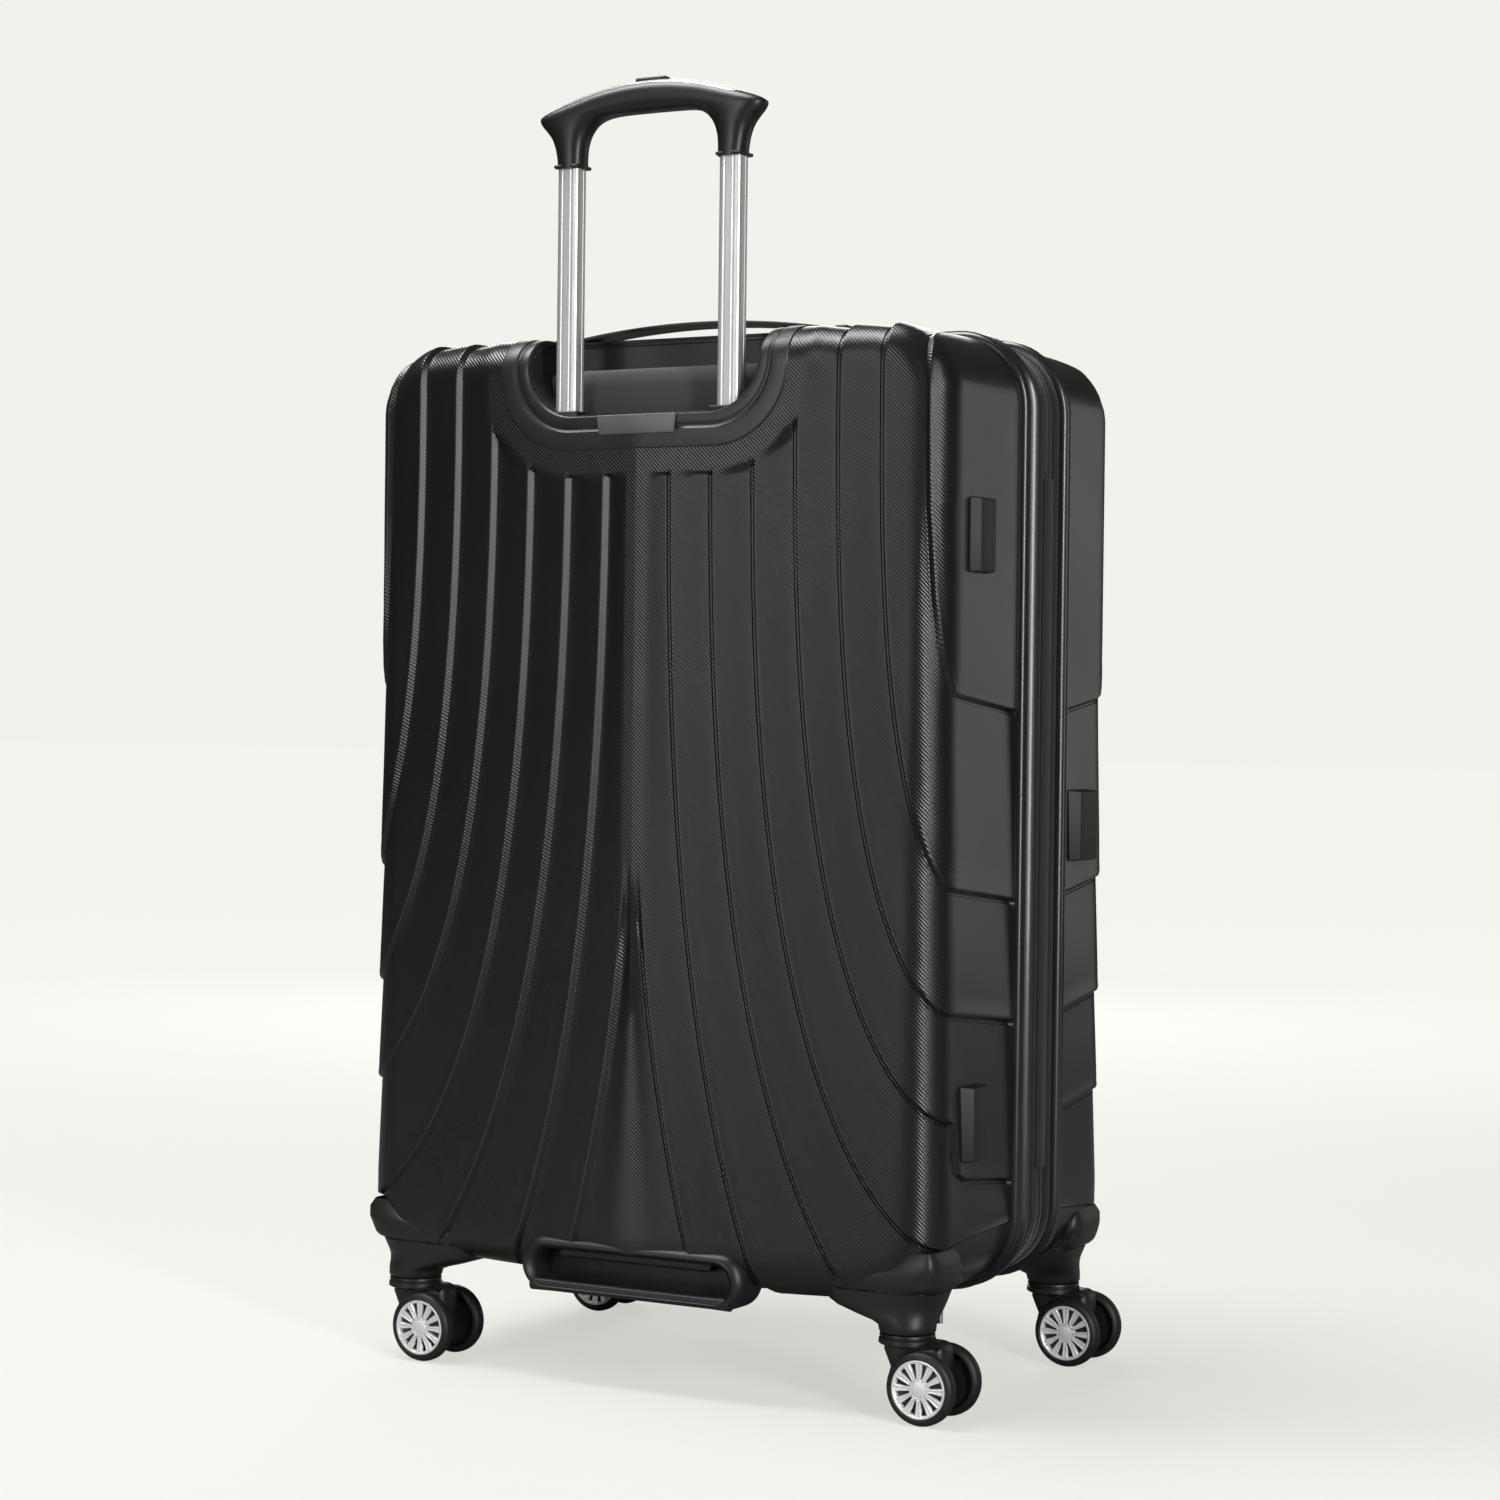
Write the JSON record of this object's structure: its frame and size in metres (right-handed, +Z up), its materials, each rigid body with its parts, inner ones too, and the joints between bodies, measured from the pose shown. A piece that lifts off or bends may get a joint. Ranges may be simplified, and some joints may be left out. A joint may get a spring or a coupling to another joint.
{
  "type": "hard-shell spinner travel case",
  "caption": "Tall hard-shell wheeled travel case with ribbed shells, hinged zip lid, expansion band, telescopic pull handle, carry handles and twin-wheel swivel casters.",
  "frame": {"origin": "middle of the case's footprint, on the floor it stands on", "axes": "+Z up, +Y to the back where the pull handle is, +X to the lock side; the lid faces -Y and its hinge is on -X"},
  "size_m": [0.5268, 0.3256, 0.974],
  "materials": {
    "shell": "satin, fine diagonal hatch",
    "frame_trim": "satin gloss",
    "bezel": "satin",
    "plate": "satin metallic paint",
    "aluminium": "satin anodised",
    "black_plastic": "fine matt grain",
    "lining": "polyester lining",
    "webbing": "woven webbing",
    "zip_tape": "woven zipper tape and coil",
    "gusset": "woven nylon",
    "soft_rubber": "soft matt",
    "steel": "zinc plated",
    "satin_grip": "satin",
    "silver_panel": "silver paint, fine dots",
    "dark_metal": "satin black",
    "tyre": "smooth polyurethane",
    "silver_hub": "silver paint",
    "black_wheel": "smooth"
  },
  "bodies": {
    "case_back": {"back_shell": "shell", "back_frame": "frame_trim", "handle_cup": "bezel", "nameplate": "plate", "outer_tubes": "aluminium", "tube_foot_bracket": "black_plastic", "bottom_grip": "bezel", "side_feet_back": "black_plastic", "back_lining": "lining", "packing_straps": "webbing", "expansion_zipper": "zip_tape", "shell_screws": "steel", "top_handle_anchors": "black_plastic", "side_handle_anchors": "black_plastic", "caster_housings_back": "black_plastic"},
    "top_handle": {"top_carry_handle": "soft_rubber"},
    "side_handle": {"side_carry_handle": "soft_rubber"},
    "trolley_handle": {"handle_grip": "satin_grip", "grip_top_panel": "silver_panel", "inner_tubes": "aluminium", "lock_pins": "steel"},
    "button": {"release_button": "black_plastic", "push_rods": "steel"},
    "expansion_band": {"expansion_gusset": "gusset", "hinge_tape": "zip_tape", "main_zipper_back_half": "zip_tape"},
    "lid": {"front_shell": "shell", "front_frame": "frame_trim", "main_zipper_front_half": "zip_tape", "front_lining": "lining", "side_foot_front": "black_plastic", "lock_body": "black_plastic", "zip_sliders": "dark_metal", "caster_housings_front": "black_plastic"},
    "pull_upper": {"zip_pull_upper": "dark_metal"},
    "pull_lower": {"zip_pull_lower": "dark_metal"},
    "dial_1": {"lock_dial_1": "steel"},
    "dial_2": {"lock_dial_2": "steel"},
    "dial_3": {"lock_dial_3": "steel"},
    "lock_button": {"lock_release": "black_plastic"},
    "caster_back_left_swivel": {"caster_back_left_fork": "black_plastic", "caster_back_left_axle": "steel"},
    "caster_back_left_wheel_a": {"caster_back_left_tyre_outer": "tyre", "caster_back_left_hub_outer": "silver_hub"},
    "caster_back_left_wheel_b": {"caster_back_left_wheel_inner": "black_wheel"},
    "caster_back_right_swivel": {"caster_back_right_fork": "black_plastic", "caster_back_right_axle": "steel"},
    "caster_back_right_wheel_a": {"caster_back_right_tyre_outer": "tyre", "caster_back_right_hub_outer": "silver_hub"},
    "caster_back_right_wheel_b": {"caster_back_right_wheel_inner": "black_wheel"},
    "caster_front_left_swivel": {"caster_front_left_fork": "black_plastic", "caster_front_left_axle": "steel"},
    "caster_front_left_wheel_a": {"caster_front_left_tyre_outer": "tyre", "caster_front_left_hub_outer": "silver_hub"},
    "caster_front_left_wheel_b": {"caster_front_left_wheel_inner": "black_wheel"},
    "caster_front_right_swivel": {"caster_front_right_fork": "black_plastic", "caster_front_right_axle": "steel"},
    "caster_front_right_wheel_a": {"caster_front_right_tyre_outer": "tyre", "caster_front_right_hub_outer": "silver_hub"},
    "caster_front_right_wheel_b": {"caster_front_right_wheel_inner": "black_wheel"}
  },
  "joints": [
    {"name": "expansion_slide", "type": "slide", "parent": "case_back", "child": "expansion_band", "axis": [0, -1, 0], "range_m": [0, 0.045]},
    {"name": "lid_hinge", "type": "hinge", "parent": "expansion_band", "child": "lid", "pos_m": [-0.2545, -0.034, 0.423], "axis": [0, 0, -1], "range_deg": [0, 180]},
    {"name": "handle_slide", "type": "slide", "parent": "case_back", "child": "trolley_handle", "axis": [0, 0, 1], "range_m": [-0.178, 0.114]},
    {"name": "button_press", "type": "slide", "parent": "trolley_handle", "child": "button", "axis": [0, 0, -1], "range_m": [0, 0.0025], "stiffness_N_per_m": 800, "springref_m": -0.001},
    {"name": "top_handle_lift", "type": "slide", "parent": "case_back", "child": "top_handle", "axis": [0, 0, 1], "range_m": [0, 0.012]},
    {"name": "side_handle_lift", "type": "slide", "parent": "case_back", "child": "side_handle", "axis": [1, 0, 0], "range_m": [0, 0.012]},
    {"name": "lock_release_press", "type": "slide", "parent": "lid", "child": "lock_button", "axis": [-1, 0, 0], "range_m": [0, 0.002], "stiffness_N_per_m": 600, "springref_m": -0.001},
    {"name": "dial_1_turn", "type": "hinge", "parent": "lid", "child": "dial_1", "pos_m": [0.2586, -0.0525, 0.402], "axis": [0, 0, 1], "continuous": true},
    {"name": "dial_2_turn", "type": "hinge", "parent": "lid", "child": "dial_2", "pos_m": [0.2586, -0.0525, 0.411], "axis": [0, 0, 1], "continuous": true},
    {"name": "dial_3_turn", "type": "hinge", "parent": "lid", "child": "dial_3", "pos_m": [0.2586, -0.0525, 0.42], "axis": [0, 0, 1], "continuous": true},
    {"name": "zip_pull_upper_swing", "type": "hinge", "parent": "lid", "child": "pull_upper", "pos_m": [0.2535, -0.034, 0.468], "axis": [0, -1, 0], "range_deg": [0, 120]},
    {"name": "zip_pull_lower_swing", "type": "hinge", "parent": "lid", "child": "pull_lower", "pos_m": [0.2535, -0.034, 0.368], "axis": [0, -1, 0], "range_deg": [0, 120]},
    {"name": "caster_back_left_swivel_turn", "type": "hinge", "parent": "case_back", "child": "caster_back_left_swivel", "pos_m": [-0.2149, 0.1265, 0.062], "axis": [0, 0, 1], "continuous": true},
    {"name": "caster_back_left_wheel_a_spin", "type": "hinge", "parent": "caster_back_left_swivel", "child": "caster_back_left_wheel_a", "pos_m": [-0.2368, 0.1265, 0.0264], "axis": [0, 1, 0], "continuous": true},
    {"name": "caster_back_left_wheel_b_spin", "type": "hinge", "parent": "caster_back_left_swivel", "child": "caster_back_left_wheel_b", "pos_m": [-0.2368, 0.1265, 0.0264], "axis": [0, 1, 0], "continuous": true},
    {"name": "caster_back_right_swivel_turn", "type": "hinge", "parent": "case_back", "child": "caster_back_right_swivel", "pos_m": [0.2149, 0.1265, 0.062], "axis": [0, 0, 1], "continuous": true},
    {"name": "caster_back_right_wheel_a_spin", "type": "hinge", "parent": "caster_back_right_swivel", "child": "caster_back_right_wheel_a", "pos_m": [0.193, 0.1265, 0.0264], "axis": [0, 1, 0], "continuous": true},
    {"name": "caster_back_right_wheel_b_spin", "type": "hinge", "parent": "caster_back_right_swivel", "child": "caster_back_right_wheel_b", "pos_m": [0.193, 0.1265, 0.0264], "axis": [0, 1, 0], "continuous": true},
    {"name": "caster_front_left_swivel_turn", "type": "hinge", "parent": "lid", "child": "caster_front_left_swivel", "pos_m": [-0.2149, -0.1265, 0.062], "axis": [0, 0, 1], "continuous": true},
    {"name": "caster_front_left_wheel_a_spin", "type": "hinge", "parent": "caster_front_left_swivel", "child": "caster_front_left_wheel_a", "pos_m": [-0.2368, -0.1265, 0.0264], "axis": [0, 1, 0], "continuous": true},
    {"name": "caster_front_left_wheel_b_spin", "type": "hinge", "parent": "caster_front_left_swivel", "child": "caster_front_left_wheel_b", "pos_m": [-0.2368, -0.1265, 0.0264], "axis": [0, 1, 0], "continuous": true},
    {"name": "caster_front_right_swivel_turn", "type": "hinge", "parent": "lid", "child": "caster_front_right_swivel", "pos_m": [0.2149, -0.1265, 0.062], "axis": [0, 0, 1], "continuous": true},
    {"name": "caster_front_right_wheel_a_spin", "type": "hinge", "parent": "caster_front_right_swivel", "child": "caster_front_right_wheel_a", "pos_m": [0.193, -0.1265, 0.0264], "axis": [0, 1, 0], "continuous": true},
    {"name": "caster_front_right_wheel_b_spin", "type": "hinge", "parent": "caster_front_right_swivel", "child": "caster_front_right_wheel_b", "pos_m": [0.193, -0.1265, 0.0264], "axis": [0, 1, 0], "continuous": true}
  ]
}
